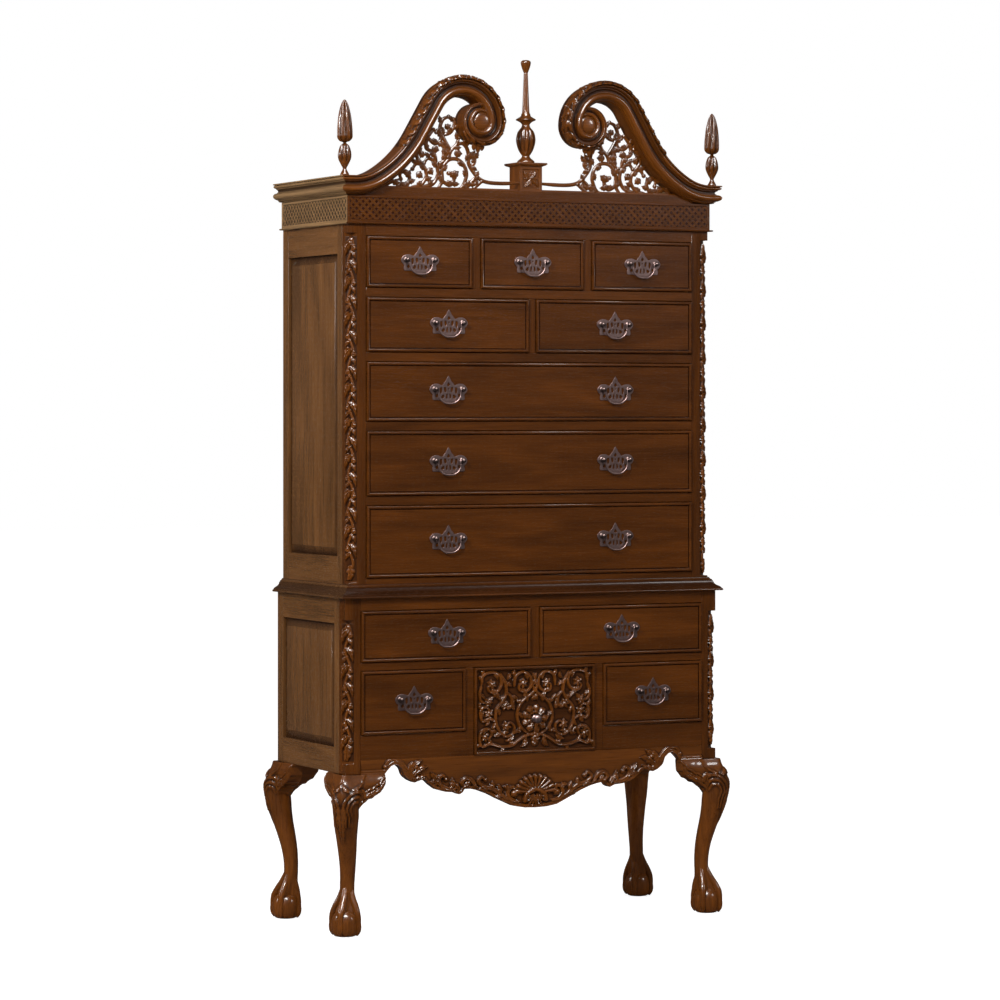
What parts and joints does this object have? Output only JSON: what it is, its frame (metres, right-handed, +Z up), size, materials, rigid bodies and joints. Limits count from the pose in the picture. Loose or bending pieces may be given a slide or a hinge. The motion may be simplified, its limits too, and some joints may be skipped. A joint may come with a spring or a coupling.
{
  "type": "highboy",
  "caption": "Tall chest of drawers on a lower chest with cabriole legs, ball-and-claw feet, a broken scroll pediment, finials and swinging bail handles.",
  "frame": {"origin": "on the floor, under the middle of the base", "axes": "+Z up; the drawer fronts face -Y; seen from the front, +X is to the right"},
  "size_m": [1.1182, 0.5052, 2.1982],
  "materials": {
    "case_mahogany": "polished mahogany of the case, legs, mouldings and carved pediment",
    "drawer_mahogany": "glossy red-brown figured mahogany drawer fronts on plain drawer boxes",
    "turned_mahogany": "dark polished turned and carved mahogany",
    "secondary_wood": "plain unpolished secondary wood inside and at the back",
    "handle_metal": "antiqued dull brass with bright worn post heads"
  },
  "bodies": {
    "root": {"corner_posts": "case_mahogany", "upper_case_sides": "case_mahogany", "base_case_sides": "case_mahogany", "upper_face_frame": "case_mahogany", "base_face_frame": "case_mahogany", "apron": "case_mahogany", "drawer_runners": "secondary_wood", "case_boards": "secondary_wood", "back_panels": "secondary_wood", "waist_moulding": "case_mahogany", "side_cornices": "case_mahogany", "frieze": "case_mahogany", "left_scroll": "case_mahogany", "right_scroll": "case_mahogany", "pediment_fret": "case_mahogany", "finial_plinth": "case_mahogany", "centre_finial": "turned_mahogany", "corner_finials": "turned_mahogany", "cabriole_legs": "case_mahogany"},
    "top_left_drawer": {"top_left_drawer": "drawer_mahogany", "top_left_drawer_plates": "handle_metal"},
    "top_left_drawer_bail": {"top_left_drawer_bail": "handle_metal"},
    "top_centre_drawer": {"top_centre_drawer": "drawer_mahogany", "top_centre_drawer_plates": "handle_metal"},
    "top_centre_drawer_bail": {"top_centre_drawer_bail": "handle_metal"},
    "top_right_drawer": {"top_right_drawer": "drawer_mahogany", "top_right_drawer_plates": "handle_metal"},
    "top_right_drawer_bail": {"top_right_drawer_bail": "handle_metal"},
    "second_left_drawer": {"second_left_drawer": "drawer_mahogany", "second_left_drawer_plates": "handle_metal"},
    "second_left_drawer_bail": {"second_left_drawer_bail": "handle_metal"},
    "second_right_drawer": {"second_right_drawer": "drawer_mahogany", "second_right_drawer_plates": "handle_metal"},
    "second_right_drawer_bail": {"second_right_drawer_bail": "handle_metal"},
    "third_long_drawer": {"third_long_drawer": "drawer_mahogany", "third_long_drawer_plates": "handle_metal"},
    "third_long_drawer_left_bail": {"third_long_drawer_left_bail": "handle_metal"},
    "third_long_drawer_right_bail": {"third_long_drawer_right_bail": "handle_metal"},
    "fourth_long_drawer": {"fourth_long_drawer": "drawer_mahogany", "fourth_long_drawer_plates": "handle_metal"},
    "fourth_long_drawer_left_bail": {"fourth_long_drawer_left_bail": "handle_metal"},
    "fourth_long_drawer_right_bail": {"fourth_long_drawer_right_bail": "handle_metal"},
    "fifth_long_drawer": {"fifth_long_drawer": "drawer_mahogany", "fifth_long_drawer_plates": "handle_metal"},
    "fifth_long_drawer_left_bail": {"fifth_long_drawer_left_bail": "handle_metal"},
    "fifth_long_drawer_right_bail": {"fifth_long_drawer_right_bail": "handle_metal"},
    "base_left_drawer": {"base_left_drawer": "drawer_mahogany", "base_left_drawer_plates": "handle_metal"},
    "base_left_drawer_bail": {"base_left_drawer_bail": "handle_metal"},
    "base_right_drawer": {"base_right_drawer": "drawer_mahogany", "base_right_drawer_plates": "handle_metal"},
    "base_right_drawer_bail": {"base_right_drawer_bail": "handle_metal"},
    "base_small_left_drawer": {"base_small_left_drawer": "drawer_mahogany", "base_small_left_drawer_plates": "handle_metal"},
    "base_small_left_drawer_bail": {"base_small_left_drawer_bail": "handle_metal"},
    "base_small_right_drawer": {"base_small_right_drawer": "drawer_mahogany", "base_small_right_drawer_plates": "handle_metal"},
    "base_small_right_drawer_bail": {"base_small_right_drawer_bail": "handle_metal"},
    "carved_centre_drawer": {"carved_centre_drawer": "drawer_mahogany", "carved_drawer_knob": "handle_metal"}
  },
  "joints": [
    {"name": "top_left_drawer_slide", "type": "slide", "parent": "root", "child": "top_left_drawer", "axis": [0, -1, 0], "range_m": [0, 0.3]},
    {"name": "top_left_drawer_bail_hinge", "type": "hinge", "parent": "top_left_drawer", "child": "top_left_drawer_bail", "pos_m": [-0.3148, -0.213, 1.68005], "axis": [-1, 0, 0], "range_deg": [0, 85]},
    {"name": "top_centre_drawer_slide", "type": "slide", "parent": "root", "child": "top_centre_drawer", "axis": [0, -1, 0], "range_m": [0, 0.3]},
    {"name": "top_centre_drawer_bail_hinge", "type": "hinge", "parent": "top_centre_drawer", "child": "top_centre_drawer_bail", "pos_m": [0, -0.213, 1.68005], "axis": [-1, 0, 0], "range_deg": [0, 85]},
    {"name": "top_right_drawer_slide", "type": "slide", "parent": "root", "child": "top_right_drawer", "axis": [0, -1, 0], "range_m": [0, 0.3]},
    {"name": "top_right_drawer_bail_hinge", "type": "hinge", "parent": "top_right_drawer", "child": "top_right_drawer_bail", "pos_m": [0.3148, -0.213, 1.68005], "axis": [-1, 0, 0], "range_deg": [0, 85]},
    {"name": "second_left_drawer_slide", "type": "slide", "parent": "root", "child": "second_left_drawer", "axis": [0, -1, 0], "range_m": [0, 0.3]},
    {"name": "second_left_drawer_bail_hinge", "type": "hinge", "parent": "second_left_drawer", "child": "second_left_drawer_bail", "pos_m": [-0.2353, -0.213, 1.5237], "axis": [-1, 0, 0], "range_deg": [0, 85]},
    {"name": "second_right_drawer_slide", "type": "slide", "parent": "root", "child": "second_right_drawer", "axis": [0, -1, 0], "range_m": [0, 0.3]},
    {"name": "second_right_drawer_bail_hinge", "type": "hinge", "parent": "second_right_drawer", "child": "second_right_drawer_bail", "pos_m": [0.2353, -0.213, 1.5237], "axis": [-1, 0, 0], "range_deg": [0, 85]},
    {"name": "third_long_drawer_slide", "type": "slide", "parent": "root", "child": "third_long_drawer", "axis": [0, -1, 0], "range_m": [0, 0.3]},
    {"name": "third_long_drawer_left_bail_hinge", "type": "hinge", "parent": "third_long_drawer", "child": "third_long_drawer_left_bail", "pos_m": [-0.2365, -0.213, 1.3571], "axis": [-1, 0, 0], "range_deg": [0, 85]},
    {"name": "third_long_drawer_right_bail_hinge", "type": "hinge", "parent": "third_long_drawer", "child": "third_long_drawer_right_bail", "pos_m": [0.2365, -0.213, 1.3571], "axis": [-1, 0, 0], "range_deg": [0, 85]},
    {"name": "fourth_long_drawer_slide", "type": "slide", "parent": "root", "child": "fourth_long_drawer", "axis": [0, -1, 0], "range_m": [0, 0.3]},
    {"name": "fourth_long_drawer_left_bail_hinge", "type": "hinge", "parent": "fourth_long_drawer", "child": "fourth_long_drawer_left_bail", "pos_m": [-0.2365, -0.213, 1.178], "axis": [-1, 0, 0], "range_deg": [0, 85]},
    {"name": "fourth_long_drawer_right_bail_hinge", "type": "hinge", "parent": "fourth_long_drawer", "child": "fourth_long_drawer_right_bail", "pos_m": [0.2365, -0.213, 1.178], "axis": [-1, 0, 0], "range_deg": [0, 85]},
    {"name": "fifth_long_drawer_slide", "type": "slide", "parent": "root", "child": "fifth_long_drawer", "axis": [0, -1, 0], "range_m": [0, 0.3]},
    {"name": "fifth_long_drawer_left_bail_hinge", "type": "hinge", "parent": "fifth_long_drawer", "child": "fifth_long_drawer_left_bail", "pos_m": [-0.2365, -0.213, 0.98315], "axis": [-1, 0, 0], "range_deg": [0, 85]},
    {"name": "fifth_long_drawer_right_bail_hinge", "type": "hinge", "parent": "fifth_long_drawer", "child": "fifth_long_drawer_right_bail", "pos_m": [0.2365, -0.213, 0.98315], "axis": [-1, 0, 0], "range_deg": [0, 85]},
    {"name": "base_left_drawer_slide", "type": "slide", "parent": "root", "child": "base_left_drawer", "axis": [0, -1, 0], "range_m": [0, 0.3]},
    {"name": "base_left_drawer_bail_hinge", "type": "hinge", "parent": "base_left_drawer", "child": "base_left_drawer_bail", "pos_m": [-0.24725, -0.228, 0.7485], "axis": [-1, 0, 0], "range_deg": [0, 85]},
    {"name": "base_right_drawer_slide", "type": "slide", "parent": "root", "child": "base_right_drawer", "axis": [0, -1, 0], "range_m": [0, 0.3]},
    {"name": "base_right_drawer_bail_hinge", "type": "hinge", "parent": "base_right_drawer", "child": "base_right_drawer_bail", "pos_m": [0.24725, -0.228, 0.7485], "axis": [-1, 0, 0], "range_deg": [0, 85]},
    {"name": "base_small_left_drawer_slide", "type": "slide", "parent": "root", "child": "base_small_left_drawer", "axis": [0, -1, 0], "range_m": [0, 0.3]},
    {"name": "base_small_left_drawer_bail_hinge", "type": "hinge", "parent": "base_small_left_drawer", "child": "base_small_left_drawer_bail", "pos_m": [-0.33805, -0.228, 0.5842], "axis": [-1, 0, 0], "range_deg": [0, 85]},
    {"name": "base_small_right_drawer_slide", "type": "slide", "parent": "root", "child": "base_small_right_drawer", "axis": [0, -1, 0], "range_m": [0, 0.3]},
    {"name": "base_small_right_drawer_bail_hinge", "type": "hinge", "parent": "base_small_right_drawer", "child": "base_small_right_drawer_bail", "pos_m": [0.33805, -0.228, 0.5842], "axis": [-1, 0, 0], "range_deg": [0, 85]},
    {"name": "carved_centre_drawer_slide", "type": "slide", "parent": "root", "child": "carved_centre_drawer", "axis": [0, -1, 0], "range_m": [0, 0.3]}
  ]
}
